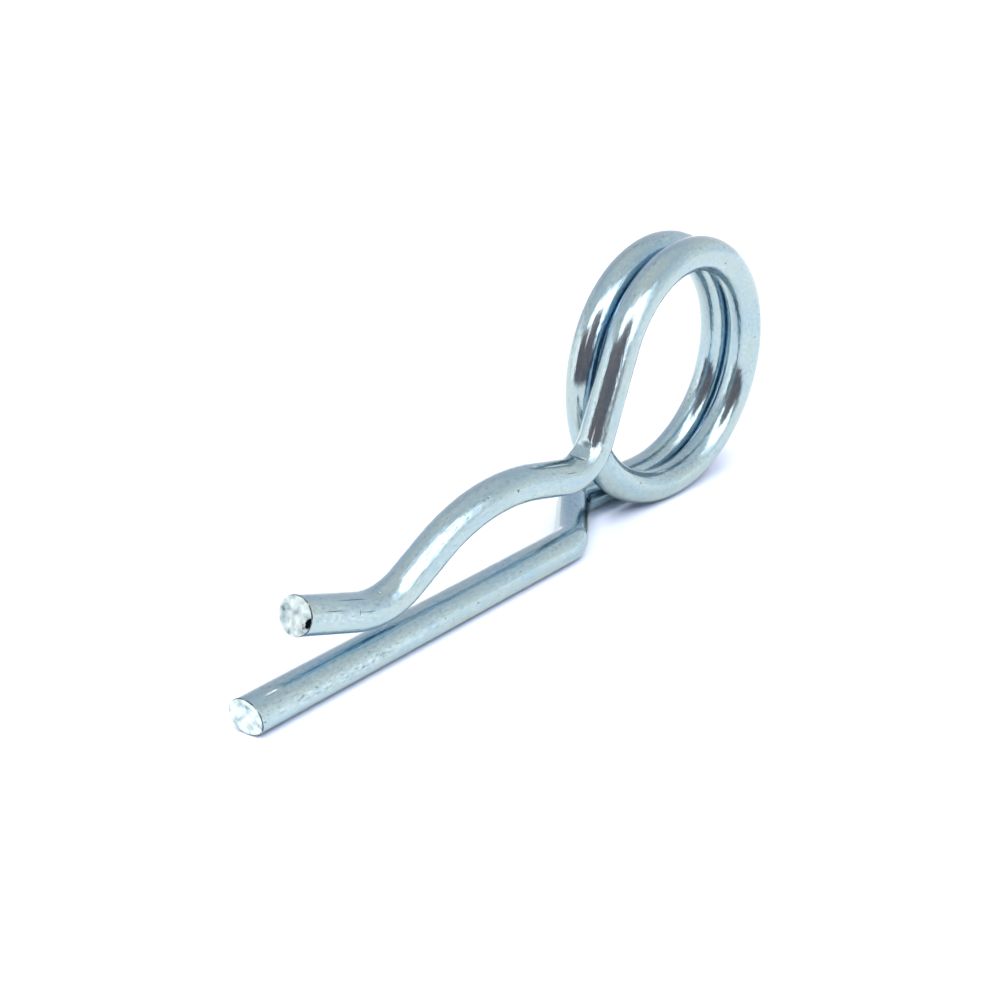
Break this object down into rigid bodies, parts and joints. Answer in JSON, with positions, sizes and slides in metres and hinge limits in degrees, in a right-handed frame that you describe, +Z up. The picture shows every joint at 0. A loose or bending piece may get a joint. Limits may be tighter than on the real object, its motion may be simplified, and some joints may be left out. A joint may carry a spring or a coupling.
{
  "type": "hitch r clip pin",
  "caption": "Spring wire R clip: a straight leg goes through a shaft's cross hole, a wavy leg snaps over the shaft, and a double coil is the spring and the eye to pull it by.",
  "frame": {"origin": "centre of the bounding box's underside, on the surface that the straight leg and the coil's two turns stand on", "axes": "+X along the straight leg, from its free end to the coil. +Y along the coil's axis, from the strand to the rear turn. +Z up, from the straight leg to the wavy one"},
  "size_m": [0.0819, 0.0124, 0.0328],
  "materials": {
    "zinc_plated_wire": "bright zinc plate with a clear blue passivate, over drawn spring steel"
  },
  "bodies": {
    "root": {"wire": "zinc_plated_wire"}
  },
  "joints": []
}
